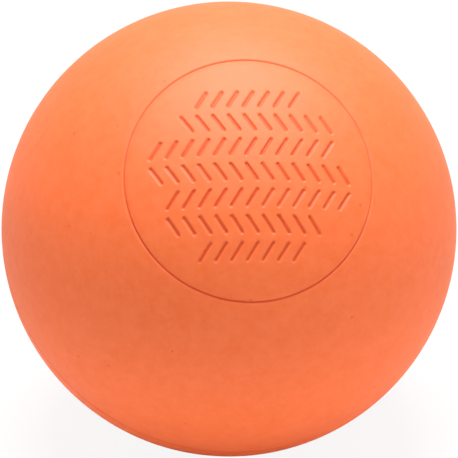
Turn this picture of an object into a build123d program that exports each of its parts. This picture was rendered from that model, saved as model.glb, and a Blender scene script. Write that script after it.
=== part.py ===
from build123d import *

import os
from math import asin, cos, radians, sin

# A solid rubber lacrosse ball, laid up as it goes into its two-part mould: a round core and two half
# covers that meet at the parting line. The origin is the ball's centre, +Z is up and -Y is the front.
# The mould axis runs through the middle of the engraved ring, which looks forwards and up.

# Driving dimensions, lengths in millimetres and angles in degrees
BALL_DIAMETER = 63.5
COVER_THICKNESS = 6.0
BOND_CLEARANCE = 0.05
PARTING_EDGE_RADIUS = 0.2
MOULD_AXIS_RISE = 44.0
RING_DIAMETER = 33.5
RING_WIDTH = 0.45
RING_DEPTH = 0.2

# Radii of the skin, of the covers' inner face and of the core that fills it
ball_radius = BALL_DIAMETER / 2
seat_radius = ball_radius - COVER_THICKNESS
core_radius = seat_radius - BOND_CLEARANCE

# The mould's own plane is the parting plane, and its normal is the mould axis
rise = radians(MOULD_AXIS_RISE)
mould = Plane(origin=(0, 0, 0), x_dir=(1, 0, 0), z_dir=(0, -cos(rise), sin(rise)))
mould_axis = Axis(mould.origin, mould.z_dir)

# Planes for the covers' half sections: X runs out along the parting plane, Y along the mould axis
marked_side = Plane(origin=mould.origin, x_dir=mould.x_dir, z_dir=-mould.y_dir)
plain_side = Plane(origin=mould.origin, x_dir=mould.x_dir, z_dir=mould.y_dir)

# The ring is cut by a round-nosed tool as wide and as deep as the groove
tool_radius = ((RING_WIDTH / 2) ** 2 + RING_DEPTH**2) / (2 * RING_DEPTH)
tool_distance = ball_radius - RING_DEPTH + tool_radius
ring_angle = asin(RING_DIAMETER / 2 / ball_radius)
tool_centre = (tool_distance * sin(ring_angle), tool_distance * cos(ring_angle))


def half_section(side):
    """Quarter ring from the parting plane to the mould axis, with its outer parting edge rounded."""
    with BuildSketch(side) as section:
        with BuildLine():
            CenterArc((0, 0), ball_radius, 0, 90)
            Line((0, ball_radius), (0, seat_radius))
            CenterArc((0, 0), seat_radius, 0, 90)
            Line((seat_radius, 0), (ball_radius, 0))
        make_face()
        parting_corner = section.vertices().sort_by(Axis.X)[-1]
        fillet(parting_corner, radius=PARTING_EDGE_RADIUS)
    return section.sketch


# Core: the solid centre that the covers close round
with BuildPart() as rubber_core:
    Sphere(core_radius)
rubber_core.part.label = "rubber_core"

# Marked half cover: the front half, with the engraved ring round the mould axis
with BuildPart() as marked_half_cover:
    revolve(half_section(marked_side), axis=mould_axis)
    with BuildSketch(marked_side):
        with Locations(tool_centre):
            Circle(tool_radius)
    revolve(axis=mould_axis, mode=Mode.SUBTRACT)
marked_half_cover.part.label = "marked_half_cover"

# Plain half cover: the rear half, which meets the front half flat against flat
with BuildPart() as plain_half_cover:
    revolve(half_section(plain_side), axis=mould_axis)
plain_half_cover.part.label = "plain_half_cover"

os.makedirs("parts", exist_ok=True)
export_step(rubber_core.part, "parts/rubber_core.step")
export_step(marked_half_cover.part, "parts/marked_half_cover.step")
export_step(plain_half_cover.part, "parts/plain_half_cover.step")

solid_volume = rubber_core.part.volume + marked_half_cover.part.volume + plain_half_cover.part.volume
print(f"rubber in the ball: {solid_volume / 1000:.1f} cubic centimetres")
print(f"ring groove: tool radius {tool_radius:.3f} mm, at {ring_angle / radians(1):.1f} degrees from the mould axis")
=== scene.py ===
# %% [markdown]
# # A lacrosse ball in moulded rubber
#
# The real ball is solid rubber, cured in a two-part mould. The mould leaves three marks on it: a fine ring
# round a patch of grip strokes on the front, and a hairline parting line round the middle, where the two
# halves of the mould met. This lesson loads the measured ball as a fixed frame, turns its two half covers
# on a virtual lathe, engraves the grip strokes and mixes a rubber for them. Blender works in metres, so one
# named millimetre keeps small sizes readable.

# %% Load the measured ball
import math

import bmesh
import bpy
from mathutils import Matrix, Vector


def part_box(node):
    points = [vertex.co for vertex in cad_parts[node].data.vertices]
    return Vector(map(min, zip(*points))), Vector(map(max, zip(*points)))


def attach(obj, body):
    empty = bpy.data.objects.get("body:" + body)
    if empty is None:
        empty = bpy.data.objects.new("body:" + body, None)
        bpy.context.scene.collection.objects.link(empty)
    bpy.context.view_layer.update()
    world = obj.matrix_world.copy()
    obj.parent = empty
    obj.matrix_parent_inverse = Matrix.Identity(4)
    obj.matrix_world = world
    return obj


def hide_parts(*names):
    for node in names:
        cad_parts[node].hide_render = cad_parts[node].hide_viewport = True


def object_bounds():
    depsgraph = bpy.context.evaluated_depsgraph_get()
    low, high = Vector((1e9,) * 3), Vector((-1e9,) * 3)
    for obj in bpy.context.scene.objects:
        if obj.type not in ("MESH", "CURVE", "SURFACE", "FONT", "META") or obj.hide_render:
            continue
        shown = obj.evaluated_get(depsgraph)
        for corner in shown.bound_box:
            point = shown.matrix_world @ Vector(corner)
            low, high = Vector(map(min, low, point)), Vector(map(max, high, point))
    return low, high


MM = 0.001

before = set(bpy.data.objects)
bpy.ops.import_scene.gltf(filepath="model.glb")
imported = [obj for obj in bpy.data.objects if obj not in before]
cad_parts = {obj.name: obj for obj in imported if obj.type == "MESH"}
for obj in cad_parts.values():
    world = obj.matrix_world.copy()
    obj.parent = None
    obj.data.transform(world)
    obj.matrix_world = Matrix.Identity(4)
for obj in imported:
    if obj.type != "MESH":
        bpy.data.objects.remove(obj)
cad_low, cad_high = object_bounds()
print("measured ball, millimetres:", [round(side / MM, 2) for side in cad_high - cad_low])

# %% [markdown]
# ## Sizes from the frame
#
# The ball's radius and the radius of the solid core inside it come from the measured pieces. The mould axis
# is the line through the middle of the ring: it looks to the front and rises above level, and everything
# that was lathe-turned is round about it. So the covers are drawn with that axis along Z, and tilted into
# place at the end.

# %% Sizes from the frame
BOND_LINE = 0.05 * MM
MOULD_AXIS_RISE = math.radians(44.0)

ball_radius = (cad_high - cad_low).x / 2
core_low, core_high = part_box("rubber_core")
seat_radius = (core_high - core_low).z / 2 + BOND_LINE
mould_tilt = Matrix.Rotation(math.radians(90) - MOULD_AXIS_RISE, 4, "X")
print(f"ball radius {ball_radius / MM:.2f} mm, covers {(ball_radius - seat_radius) / MM:.2f} mm thick")

# %% [markdown]
# ## A compass for the lathe drawing
#
# A lathe needs half of the section, drawn as one line. Arcs are nearly the whole drawing here, and spinning
# a single vertex about a point draws an arc, just as a compass does. Each arc starts where the last one
# stopped, so the line stays in one piece. Angles are measured from the mould axis, in the XZ plane.

# %% Compass and ruler
SECTION_NORMAL = (0, 1, 0)


def polar(distance, angle):
    """Point in the section plane, at a distance from the ball's centre and an angle from the mould axis."""
    return Vector((distance * math.sin(angle), 0, distance * math.cos(angle)))


def draw_arc(drawing, vertex, centre, angle, steps):
    """Turns a vertex about a centre, leaves an arc of edges behind it, and returns the arc's last vertex."""
    made = bmesh.ops.spin(
        drawing, geom=[vertex], cent=centre, axis=SECTION_NORMAL, angle=angle, steps=steps
    )
    return next(item for item in made["geom_last"] if isinstance(item, bmesh.types.BMVert))


def draw_line(drawing, vertex, target):
    """Draws a straight edge from a vertex to a target point, and returns the new vertex."""
    made = bmesh.ops.extrude_vert_indiv(drawing, verts=[vertex])
    end = made["verts"][0]
    bmesh.ops.translate(drawing, verts=[end], vec=Vector(target) - end.co)
    return end


print("the section plane's normal is", SECTION_NORMAL)

# %% [markdown]
# ## The ring groove
#
# The ring is where a round insert sat in the mould. It is a groove with a round floor, steep on the inside
# and drawn out gently on the outside, and rubber never keeps a sharp edge, so each side has a rounded lip.
# Three arcs draw it: a lip that is tangent to the ball's skin, the groove's floor, and the other lip. A
# lip's place follows from the triangle between the ball's centre, the lip's centre and the floor's centre.

# %% Ring groove
RING_DIAMETER = 33.5 * MM
RING_DEPTH = 0.2 * MM
RING_FLOOR_RADIUS = 0.14 * MM
INNER_LIP_RADIUS = 0.06 * MM
OUTER_LIP_RADIUS = 0.4 * MM
INNER_LIP_STEPS = 3
FLOOR_STEPS = 6
OUTER_LIP_STEPS = 6

ring_angle = math.asin(RING_DIAMETER / 2 / ball_radius)
floor_distance = ball_radius - RING_DEPTH + RING_FLOOR_RADIUS


def lip_offset(lip_radius):
    """Angle at the ball's centre between the groove's floor and a lip tangent to that floor and the skin."""
    lip_distance = ball_radius - lip_radius
    reach = RING_FLOOR_RADIUS + lip_radius
    share = (lip_distance**2 + floor_distance**2 - reach**2) / (2 * lip_distance * floor_distance)
    return math.acos(share)


ring_start = ring_angle - lip_offset(INNER_LIP_RADIUS)
ring_stop = ring_angle + lip_offset(OUTER_LIP_RADIUS)


def draw_ring_groove(drawing, vertex):
    """Draws lip, floor and lip, from a vertex on the skin to a vertex on the skin past the ring."""
    floor_centre = polar(floor_distance, ring_angle)
    inner_lip = polar(ball_radius - INNER_LIP_RADIUS, ring_start)
    outer_lip = polar(ball_radius - OUTER_LIP_RADIUS, ring_stop)
    inner_turn = inner_lip.angle(floor_centre - inner_lip)
    floor_turn = (inner_lip - floor_centre).angle(outer_lip - floor_centre)
    outer_turn = outer_lip.angle(floor_centre - outer_lip)
    vertex = draw_arc(drawing, vertex, inner_lip, inner_turn, INNER_LIP_STEPS)
    vertex = draw_arc(drawing, vertex, floor_centre, -floor_turn, FLOOR_STEPS)
    return draw_arc(drawing, vertex, outer_lip, outer_turn, OUTER_LIP_STEPS)


print(f"ring groove {math.degrees(ring_angle):.1f} degrees from the mould axis")

# %% [markdown]
# ## Turning a half cover
#
# The drawing runs from the pole along the skin to the parting line. There the flash was buffed off, which
# leaves a shallow hollow, so the skin dips over a narrow band before a small rounded edge turns into the
# flat parting face. The drawing then goes across that face and back to the axis along the seat of the core.
# Spinning it about the mould axis makes the closed shell. The operator slows down as the mesh behind it
# grows, so only a narrow wedge is spun from the drawing, and a second spin copies that wedge round the
# axis. Merging doubles joins the wedges and closes the poles, where every column ends in the same place.

# %% Lathe
BUFFED_WIDTH = 0.7 * MM
BUFFED_CURVE_RADIUS = 12.0 * MM
PARTING_EDGE_RADIUS = 0.08 * MM
BAND_STEPS = 4
EDGE_STEPS = 4
SEAT_STEPS = 8
WEDGES = 16
MERGE_DISTANCE = 0.0002 * MM

band_angle = math.pi / 2 - BUFFED_WIDTH / ball_radius
band_centre = polar(ball_radius - BUFFED_CURVE_RADIUS, band_angle)
edge_rise = PARTING_EDGE_RADIUS - band_centre.z
edge_reach = math.sqrt((BUFFED_CURVE_RADIUS - PARTING_EDGE_RADIUS) ** 2 - edge_rise**2)
edge_angle = math.atan2(edge_reach, edge_rise)
edge_centre = band_centre + Vector((edge_reach, 0, edge_rise))


def draw_parting_edge(drawing, vertex):
    """Draws the buffed band, the small edge, the parting face and the core's seat."""
    vertex = draw_arc(drawing, vertex, band_centre, edge_angle - band_angle, BAND_STEPS)
    vertex = draw_arc(drawing, vertex, edge_centre, math.pi - edge_angle, EDGE_STEPS)
    vertex = draw_line(drawing, vertex, (seat_radius, 0, 0))
    return draw_arc(drawing, vertex, Vector(), -math.pi / 2, SEAT_STEPS)


def turn_on_lathe(drawing, columns):
    """Spins a wedge of the drawing about the mould axis, copies it round and closes seams and poles."""
    wedge = 2 * math.pi / WEDGES
    line = drawing.verts[:] + drawing.edges[:]
    about_axis = {"cent": (0, 0, 0), "axis": (0, 0, 1)}
    bmesh.ops.spin(drawing, geom=line, angle=wedge, steps=columns // WEDGES, **about_axis)
    slice_of_cover = drawing.verts[:] + drawing.edges[:] + drawing.faces[:]
    rest_of_turn = 2 * math.pi - wedge
    copies = WEDGES - 1
    bmesh.ops.spin(
        drawing, geom=slice_of_cover, angle=rest_of_turn, steps=copies, use_duplicate=True, **about_axis
    )
    bmesh.ops.remove_doubles(drawing, verts=drawing.verts, dist=MERGE_DISTANCE)
    bmesh.ops.recalc_face_normals(drawing, faces=drawing.faces)


print(f"parting edge {(ball_radius - edge_centre.x - PARTING_EDGE_RADIUS) / MM:.3f} mm below the skin")

# %% [markdown]
# ## From drawing to object
#
# A bmesh is only a drawing, and a scene shows objects. So the drawing is written into a mesh, and the mesh
# is given to an object. A cover is tilted in its mesh first, so that its object stays at the origin.

# %% From drawing to object
def add_object(name, data):
    """Puts a new object of that name and data into the scene."""
    thing = bpy.data.objects.new(name, data)
    bpy.context.scene.collection.objects.link(thing)
    return thing


def object_from(drawing, name):
    """Makes an object of a finished drawing, and frees the drawing."""
    mesh = bpy.data.meshes.new(name)
    drawing.to_mesh(mesh)
    drawing.free()
    return add_object(name, mesh)


def finish_cover(drawing, name, tilt):
    """Tilts a turned cover into the ball's frame and makes a smooth object of it."""
    bmesh.ops.transform(drawing, matrix=tilt, verts=drawing.verts)
    for face in drawing.faces:
        face.smooth = True
    return object_from(drawing, name)


# %% [markdown]
# ## Grip strokes
#
# Inside the ring the mould was engraved, so the ball carries short strokes there. They stand in rows that
# lean one way and then the other, a plain herringbone, and the ball lies a little askew, so the rows are
# turned a few degrees. A stroke could be cut with a Boolean, but that leaves hard edges and stray slivers.
# The skin there is a fine mesh, so each vertex is pushed in instead, by how near it is to the middle line
# of its stroke. A smooth step gives the soft walls of moulded rubber.

# %% Grip strokes
PATCH_RADIUS = 14.0 * MM
PATCH_TURN = math.radians(3.7)
ROW_PITCH = 3.5 * MM
STROKE_SPACING = 2.1 * MM
STROKE_LENGTH = 2.5 * MM
STROKE_LEAN = math.radians(33)
STROKE_HALF_WIDTH = 0.34 * MM
STROKE_WALL = 0.24 * MM
STROKE_DEPTH = 0.22 * MM


def nearest_stroke(across, up):
    """Middle and direction of the stroke nearest to a place on the patch."""
    row = round(up / ROW_PITCH)
    side = 1 if row % 2 else -1
    direction = Vector((side * math.sin(STROKE_LEAN), math.cos(STROKE_LEAN)))
    drift = (up - row * ROW_PITCH) * direction.x / direction.y
    column = round((across - drift) / STROKE_SPACING)
    return Vector((column * STROKE_SPACING, row * ROW_PITCH)), direction


def stroke_depth(across, up):
    """Depth of the engraving at a place on the patch."""
    middle, direction = nearest_stroke(across, up)
    reach = direction * STROKE_LENGTH / 2
    farthest = max((middle + reach).length, (middle - reach).length)
    if farthest + STROKE_HALF_WIDTH > PATCH_RADIUS:
        return 0.0
    place = Vector((across, up)) - middle
    along = max(-STROKE_LENGTH / 2, min(STROKE_LENGTH / 2, place.dot(direction)))
    distance = (place - direction * along).length
    share = max(0.0, min(1.0, (STROKE_HALF_WIDTH - distance) / STROKE_WALL))
    return STROKE_DEPTH * share * share * (3 - 2 * share)


def engrave_strokes(drawing):
    """Pushes the skin in along the strokes and returns how many vertices moved."""
    moved = 0
    turn = Matrix.Rotation(PATCH_TURN, 2)
    for vertex in drawing.verts:
        on_patch = vertex.co.z > seat_radius and vertex.co.xy.length < PATCH_RADIUS
        depth = stroke_depth(*(turn @ vertex.co.xy)) if on_patch else 0.0
        if depth > 0:
            vertex.co *= 1 - depth / vertex.co.length
            moved += 1
    return moved


print(f"strokes {STROKE_LENGTH / MM:.1f} mm long and {STROKE_DEPTH / MM:.2f} mm deep")

# %% [markdown]
# ## Front half cover
#
# The front cover has the ring and the strokes. The strokes need a fine mesh and the rest of the skin
# doesn't, so the drawing has many small steps out to the edge of the patch and longer ones after it.

# %% Front half cover
FRONT_COLUMNS = 640
PATCH_STEPS = 102
MARGIN_STEPS = 3
FLANK_STEPS = 18

patch_angle = math.asin(PATCH_RADIUS / ball_radius)

drawing = bmesh.new()
pen = drawing.verts.new((0, 0, ball_radius))
pen = draw_arc(drawing, pen, Vector(), patch_angle, PATCH_STEPS)
pen = draw_arc(drawing, pen, Vector(), ring_start - patch_angle, MARGIN_STEPS)
pen = draw_ring_groove(drawing, pen)
pen = draw_arc(drawing, pen, Vector(), band_angle - ring_stop, FLANK_STEPS)
pen = draw_parting_edge(drawing, pen)
turn_on_lathe(drawing, FRONT_COLUMNS)
engraved = engrave_strokes(drawing)
front_cover = finish_cover(drawing, "front_cover_moulding", mould_tilt)
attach(front_cover, "root")
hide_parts("marked_half_cover")
print("front cover:", len(front_cover.data.polygons), "faces,", engraved, "vertices engraved")

# %% [markdown]
# ## Rear half cover
#
# The rear cover is plain, so its drawing is one arc from the pole to the parting edge. It is turned the
# same way and then flipped half a turn about X, so that its parting face meets the front cover's.

# %% Rear half cover
REAR_COLUMNS = 320
REAR_STEPS = 80
rear_tilt = mould_tilt @ Matrix.Rotation(math.pi, 4, "X")

drawing = bmesh.new()
pen = drawing.verts.new((0, 0, ball_radius))
pen = draw_arc(drawing, pen, Vector(), band_angle, REAR_STEPS)
pen = draw_parting_edge(drawing, pen)
turn_on_lathe(drawing, REAR_COLUMNS)
rear_cover = finish_cover(drawing, "rear_cover_moulding", rear_tilt)
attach(rear_cover, "root")
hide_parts("plain_half_cover")
print("rear cover:", len(rear_cover.data.polygons), "faces")

# %% [markdown]
# ## Shader sums
#
# A material is easier to read as sums than as a web of nodes. This small class wraps one output of a node.
# Sums on it add Math nodes, and one method adds any other node: settings first, then the sockets.

# %% Shader sums
class Wire:
    """One output of a shader node, which can be used in sums like a number."""

    def __init__(self, tree, socket=None):
        self.tree = tree
        self.socket = socket

    def add(self, kind, settings, inputs, output=0):
        """Adds a node of any kind and returns one of its outputs, if it has any."""
        node = self.tree.nodes.new(kind)
        for name, value in settings.items():
            setattr(node, name, value)
        for name, value in inputs.items():
            if isinstance(value, Wire):
                self.tree.links.new(value.socket, node.inputs[name])
            else:
                node.inputs[name].default_value = value
        return Wire(self.tree, node.outputs[output]) if node.outputs else None

    def sum(self, operation, first, second):
        """A Math node with two inputs."""
        return self.add("ShaderNodeMath", {"operation": operation}, {0: first, 1: second})

    def __add__(self, other):
        return self.sum("ADD", self, other)

    def __radd__(self, other):
        return self.sum("ADD", other, self)

    def __sub__(self, other):
        return self.sum("SUBTRACT", self, other)

    def __rsub__(self, other):
        return self.sum("SUBTRACT", other, self)

    def __mul__(self, other):
        return self.sum("MULTIPLY", self, other)

    def __rmul__(self, other):
        return self.sum("MULTIPLY", other, self)

    def fade(self, start, stop):
        """0 at start and 1 at stop, with a smooth step between them."""
        ends = {"From Min": start, "From Max": stop, "To Min": 0.0, "To Max": 1.0}
        settings = {"interpolation_type": "SMOOTHSTEP"}
        return self.add("ShaderNodeMapRange", settings, {"Value": self, **ends})

    def tint(self, plain, full):
        """A colour that goes from plain to full as this wire goes from 0 to 1."""
        # A Mix node has sockets for each type of data: inputs 6 and 7 and output 2 are those for colours
        settings = {"data_type": "RGBA"}
        return self.add("ShaderNodeMix", settings, {0: self, 6: plain, 7: full}, output=2)


def new_material(name):
    """An empty material, and a wire to start its sums from."""
    material = bpy.data.materials.new(name)
    material.use_nodes = True
    material.node_tree.nodes.clear()
    return material, Wire(material.node_tree)


print("sums on wires:", [name for name in vars(Wire) if name.startswith("__r")])

# %% [markdown]
# ## Noise and dots
#
# Two patterns do the work in the rubber. The noise swings about zero, so it can be added at any weight and
# leaves the mean alone. A Voronoi texture gives the distance to the nearest of many scattered points, and
# fading that distance close to the points leaves small round dots.

# %% Noise and dots
NOISE_DETAIL = 2.0
NOISE_ROUGHNESS = 0.55
NOISE_MEAN = 0.5
FULL_DOT = 0.3


def noise(place, scale):
    """Soft noise of one size, about zero."""
    look = {"Scale": scale, "Detail": NOISE_DETAIL, "Roughness": NOISE_ROUGHNESS}
    return place.add("ShaderNodeTexNoise", {}, {"Vector": place, **look}) - NOISE_MEAN


def scattered_dots(place, scale, radius):
    """Small round dots at random places: 1 in the middle of a dot, fading to 0 at its edge."""
    cells = place.add("ShaderNodeTexVoronoi", {"feature": "F1"}, {"Vector": place, "Scale": scale})
    edge = radius * scale
    return cells.fade(edge, FULL_DOT * edge)


print("a dot is full over", FULL_DOT, "of its radius")

# %% [markdown]
# ## Engraving and seam
#
# The parting line is redder than the skin round it, and the bottom of the grooves gets painted shade, a
# darker and redder colour for the shade and red bounce light that fall there, so the rubber has to know
# where they are. The ball is centred on its origin, so the depth below the skin is the radius less the
# distance from the origin.
# A dot product with the mould axis gives the distance from the parting plane, and its square is the same on
# both sides of that plane.

# %% Engraving and seam
# How far below the skin the painted groove shade starts, and where it is full.
GROOVE_SHADE_DEPTHS = (0.07 * MM, 0.2 * MM)
mould_axis = mould_tilt @ Vector((0, 0, 1))


def engraving(place):
    """Where the painted groove shade goes: 1 at the bottom of the ring and the strokes, and 0 on the skin.
    """
    settings = {"operation": "LENGTH"}
    from_centre = place.add("ShaderNodeVectorMath", settings, {0: place}, output="Value")
    return (ball_radius - from_centre).fade(*GROOVE_SHADE_DEPTHS)


def parting_seam(place):
    """1 on the parting line, fading to 0 at the edge of the buffed band."""
    settings = {"operation": "DOT_PRODUCT"}
    ends = {0: place, 1: mould_axis}
    from_parting = place.add("ShaderNodeVectorMath", settings, ends, output="Value")
    return (from_parting * from_parting).fade(BUFFED_WIDTH**2, 0.0)


print(f"engraving shows from {GROOVE_SHADE_DEPTHS[0] / MM:.2f} mm below the skin")

# %% [markdown]
# ## Pigment and painted groove shade
#
# The cover is orange. Pigment never mixes quite evenly, so there are soft clouds in it, finer mottling and a
# fine grain, with a few red specks where a crumb of pigment lies at the skin. Each mark is one more tint
# over the last: first the specks, then the buffed band at the parting line, then painted shade, darker and
# redder, at the bottom of the engraving.

# %% Pigment and painted groove shade
LIGHT_ORANGE = (0.95, 0.182, 0.052, 1)
DEEP_ORANGE = (0.91, 0.154, 0.032, 1)
# Painted shade: the grooves get a darker, redder orange for the shade and red bounce light in them.
GROOVE_SHADE_ORANGE = (0.72, 0.055, 0.004, 1)
SEAM_ORANGE = (0.87, 0.1, 0.012, 1)
SPECK_RED = (0.82, 0.08, 0.003, 1)
CLOUD_SCALE = 120.0
CLOUD_WEIGHT = 0.6
MOTTLE_WEIGHT = 2.1
GRAIN_WEIGHT = 1.0
MEAN_TONE = 0.5
SPECK_SCALE = 240.0
SPECK_RADIUS = 0.3 * MM
SPECK_SHARE = 0.75
SEAM_SHARE = 0.6
# How much of the painted groove shade is mixed in.
GROOVE_SHADE_SHARE = 0.65


def pigment_and_groove_shade(place, mottle, grain):
    """Colour of the cover, with its specks and its parting line, and painted shade at the bottom of its
    engraving.
    """
    cloud = noise(place, CLOUD_SCALE)
    tone = MEAN_TONE + cloud * CLOUD_WEIGHT + mottle * MOTTLE_WEIGHT + grain * GRAIN_WEIGHT
    colour = tone.tint(DEEP_ORANGE, LIGHT_ORANGE)
    specks = scattered_dots(place, SPECK_SCALE, SPECK_RADIUS)
    colour = (specks * SPECK_SHARE).tint(colour, SPECK_RED)
    colour = (parting_seam(place) * SEAM_SHARE).tint(colour, SEAM_ORANGE)
    # Painted shade last: a darker, redder colour at the bottom of the ring and the strokes.
    return (engraving(place) * GROOVE_SHADE_SHARE).tint(colour, GROOVE_SHADE_ORANGE)


print(f"specks of up to {2 * SPECK_RADIUS / MM:.1f} mm")

# %% [markdown]
# ## Cover rubber
#
# A ball fresh from the mould has a satin skin. The mottling and the grain that show in its pigment make the
# skin uneven too, so they go on into the roughness and, through a Bump node, into the normal. The strength
# of the gloss is the same all over, so it is set on the shader's own socket.

# %% Cover rubber
MOTTLE_SCALE = 620.0
GRAIN_SCALE = 1700.0
SATIN_ROUGHNESS = 0.62
ROUGHNESS_WEIGHT = 0.1
SATIN_SPECULAR = 0.3
BUMP_STRENGTH = 0.3
BUMP_DISTANCE = 0.02 * MM


def cover_rubber():
    """Satin orange rubber, a little uneven in gloss and in height."""
    material, start = new_material("satin_orange_rubber")
    place = start.add("ShaderNodeTexCoord", {}, {}, output="Object")
    mottle = noise(place, MOTTLE_SCALE)
    grain = noise(place, GRAIN_SCALE)
    unevenness = mottle + grain
    relief = {"Strength": BUMP_STRENGTH, "Distance": BUMP_DISTANCE, "Height": unevenness}
    finish = {
        "Base Color": pigment_and_groove_shade(place, mottle, grain),
        "Roughness": SATIN_ROUGHNESS + unevenness * ROUGHNESS_WEIGHT,
        "Normal": place.add("ShaderNodeBump", {}, relief),
        "Specular IOR Level": SATIN_SPECULAR,
    }
    rubber = start.add("ShaderNodeBsdfPrincipled", {}, finish)
    start.add("ShaderNodeOutputMaterial", {}, {"Surface": rubber})
    return material


satin_rubber = cover_rubber()
front_cover.data.materials.append(satin_rubber)
rear_cover.data.materials.append(satin_rubber)
print("cover rubber:", len(satin_rubber.node_tree.nodes), "nodes")

# %% [markdown]
# ## Core rubber
#
# The core is closed in by the covers and only shows if the ball is cut. It keeps the measured shape and
# gets the duller rubber of a core, with crumbs of reground rubber in it.

# %% Core rubber
CORE_ORANGE = (0.62, 0.17, 0.07, 1)
CORE_CRUMB = (0.3, 0.09, 0.05, 1)
CRUMB_SCALE = 600.0
CRUMB_EDGE = (-0.05, 0.2)
CORE_ROUGHNESS = 0.8
CRUMB_ROUGHNESS_WEIGHT = 0.2


def core_rubber():
    """Matt orange-brown rubber with darker crumbs."""
    material, start = new_material("matt_core_rubber")
    place = start.add("ShaderNodeTexCoord", {}, {}, output="Object")
    crumbs = noise(place, CRUMB_SCALE)
    colour = crumbs.fade(*CRUMB_EDGE).tint(CORE_ORANGE, CORE_CRUMB)
    roughness = CORE_ROUGHNESS + crumbs * CRUMB_ROUGHNESS_WEIGHT
    finish = {"Base Color": colour, "Roughness": roughness}
    rubber = start.add("ShaderNodeBsdfPrincipled", {}, finish)
    start.add("ShaderNodeOutputMaterial", {}, {"Surface": rubber})
    return material


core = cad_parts["rubber_core"]
core.data.materials.clear()
core.data.materials.append(core_rubber())
print("core rubber on", core.name)

# %% [markdown]
# ## White floor
#
# The ball lies on a white table, against white. A white floor that is only lit shows every unevenness of
# the light, so most of what the camera sees of it is its own white, and further out all of it is. What is
# left keeps a faint shadow. Close to where the ball rests, the floor that the ball's gloss sees is only
# lit, which keeps the dark of the contact in the ball's lower edge.

# %% White floor
FLOOR_SIDE = 6.0
FLOOR_WHITE = (0.92, 0.92, 0.92, 1)
SEEN_WHITE = 0.9
CONTACT_REACH = (12 * MM, 40 * MM)
TABLE_REACH = (100 * MM, 400 * MM)


def sight_rays(start):
    """Three wires that are 1 for rays from the camera, off a gloss and through glass."""
    kinds = ("Is Camera Ray", "Is Glossy Ray", "Is Transmission Ray")
    return [start.add("ShaderNodeLightPath", {}, {}, kind) for kind in kinds]


def white_floor():
    """White table top that shows part of its own white to sight rays."""
    material, start = new_material("white_floor")
    place = start.add("ShaderNodeTexCoord", {}, {}, output="Object")
    ends = {0: place, 1: (0, 0, -ball_radius)}
    away = place.add("ShaderNodeVectorMath", {"operation": "DISTANCE"}, ends, output="Value")
    camera, gloss, glass = sight_rays(start)
    seen = SEEN_WHITE + away.fade(*TABLE_REACH) * (1 - SEEN_WHITE)
    share = camera * seen + (gloss + glass) * away.fade(*CONTACT_REACH)
    lit = start.add("ShaderNodeBsdfDiffuse", {}, {"Color": FLOOR_WHITE})
    white = start.add("ShaderNodeEmission", {}, {"Strength": 1.0})
    table_top = start.add("ShaderNodeMixShader", {}, {0: share, 1: lit, 2: white})
    start.add("ShaderNodeOutputMaterial", {}, {"Surface": table_top})
    return material


table = bmesh.new()
bmesh.ops.create_grid(table, x_segments=1, y_segments=1, size=FLOOR_SIDE / 2)
bmesh.ops.translate(table, verts=table.verts, vec=(0, 0, -ball_radius))
floor = object_from(table, "floor")
floor.data.materials.append(white_floor())
print("floor at", round(-ball_radius / MM, 2), "mm")

# %% [markdown]
# ## Camera
#
# The photograph was taken from above the front, with the ball filling the frame. The ring's tilt gives
# the turn, and the shading and the parting line at the lower left edge give the rise and the distance. The
# lens follows from how many of the picture's pixels the ball is wide.

# %% Camera
CAMERA_TURN = math.radians(-7.66)
CAMERA_RISE = math.radians(30.2)
CAMERA_DISTANCE = 20 * ball_radius
FRAME_SIDE = 458
BALL_IN_FRAME = 455.1
SENSOR_WIDTH = 36.0
NEAREST_SEEN = 10 * MM


def look_at_ball(thing, place):
    """Puts a camera or a lamp at a place and turns it to the ball's centre."""
    thing.location = place
    thing.rotation_euler = place.to_track_quat("Z", "Y").to_euler()


to_camera = Vector(
    (
        math.sin(CAMERA_TURN) * math.cos(CAMERA_RISE),
        -math.cos(CAMERA_TURN) * math.cos(CAMERA_RISE),
        math.sin(CAMERA_RISE),
    )
)
ball_slope = ball_radius / math.sqrt(CAMERA_DISTANCE**2 - ball_radius**2)
frame_slope = ball_slope * FRAME_SIDE / BALL_IN_FRAME

camera = add_object("camera", bpy.data.cameras.new("camera"))
look_at_ball(camera, to_camera * CAMERA_DISTANCE)
camera.data.sensor_width = SENSOR_WIDTH
camera.data.lens = SENSOR_WIDTH / 2 / frame_slope
camera.data.clip_start = NEAREST_SEEN
bpy.context.scene.camera = camera
print(f"camera {CAMERA_DISTANCE:.3f} m away with a {camera.data.lens:.0f} mm lens")

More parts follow.
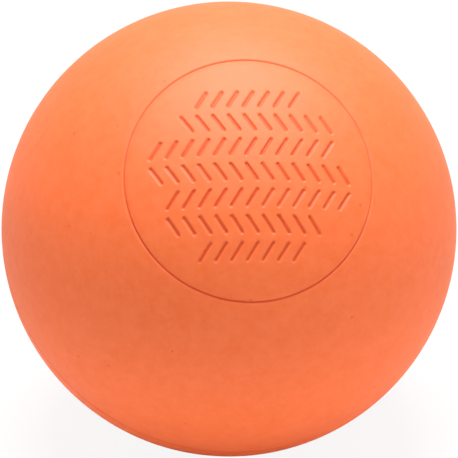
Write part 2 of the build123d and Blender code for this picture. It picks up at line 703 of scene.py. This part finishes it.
# %% [markdown]
# ## Studio light
#
# One big soft box hangs high over the ball, a little behind it, and lights the white table evenly, so that
# the table throws light back up. A broad sheet beside it shows in the gloss alone: it is the pale bloom over
# the top of the ball. Two low cards, at the front and on the right, fill the rest. A card is dull, so it
# gives light here but no highlight of its own. Places are in metres, as the camera sees them: right, away
# and up.

# %% Studio light
view_turn = Matrix.Rotation(CAMERA_TURN, 4, "Z")


def soft_lamp(name, place, side, power, light=True, highlight=True):
    """A square lamp at a place, turned to the ball, that may leave out its light or its highlight."""
    lamp = add_object(name, bpy.data.lights.new(name, "AREA"))
    look_at_ball(lamp, view_turn @ Vector(place))
    lamp.data.shape = "SQUARE"
    lamp.data.size = side
    lamp.data.energy = power
    lamp.visible_camera = False
    lamp.visible_diffuse = light
    lamp.visible_glossy = highlight
    print(f"{name}: {power:.2f} W, {lamp.location.length:.2f} m from the ball")


soft_lamp("overhead_box", place=(0, 0.26, 1.477), side=0.8, power=35.4)
soft_lamp("bloom_sheet", place=(0.15, 0.26, 1.47), side=1.6, power=66.0, light=False)
soft_lamp("front_card", place=(0, -0.75, 0.02), side=0.1, power=0.2, highlight=False)
soft_lamp("right_card", place=(0.6, -0.1, 0.08), side=0.4, power=0.7, highlight=False)

# %% [markdown]
# ## White room
#
# The world is a dim white room for light, and plain white to every ray that looks at it.

# %% White room
ROOM_LIGHT = 0.24

world = bpy.data.worlds.new("white_room")
bpy.context.scene.world = world
world.use_nodes = True
world.node_tree.nodes.clear()
room = Wire(world.node_tree)
camera_ray, gloss_ray, glass_ray = sight_rays(room)
strength = ROOM_LIGHT + (camera_ray + gloss_ray + glass_ray) * (1 - ROOM_LIGHT)
walls = room.add("ShaderNodeBackground", {}, {"Color": (1, 1, 1, 1), "Strength": strength})
room.add("ShaderNodeOutputWorld", {}, {"Surface": walls})
print("room light", ROOM_LIGHT)

# %% [markdown]
# ## Finish
#
# Colours are shown as they are, without a film look.

# %% Finish
bpy.context.scene.view_settings.view_transform = "Standard"
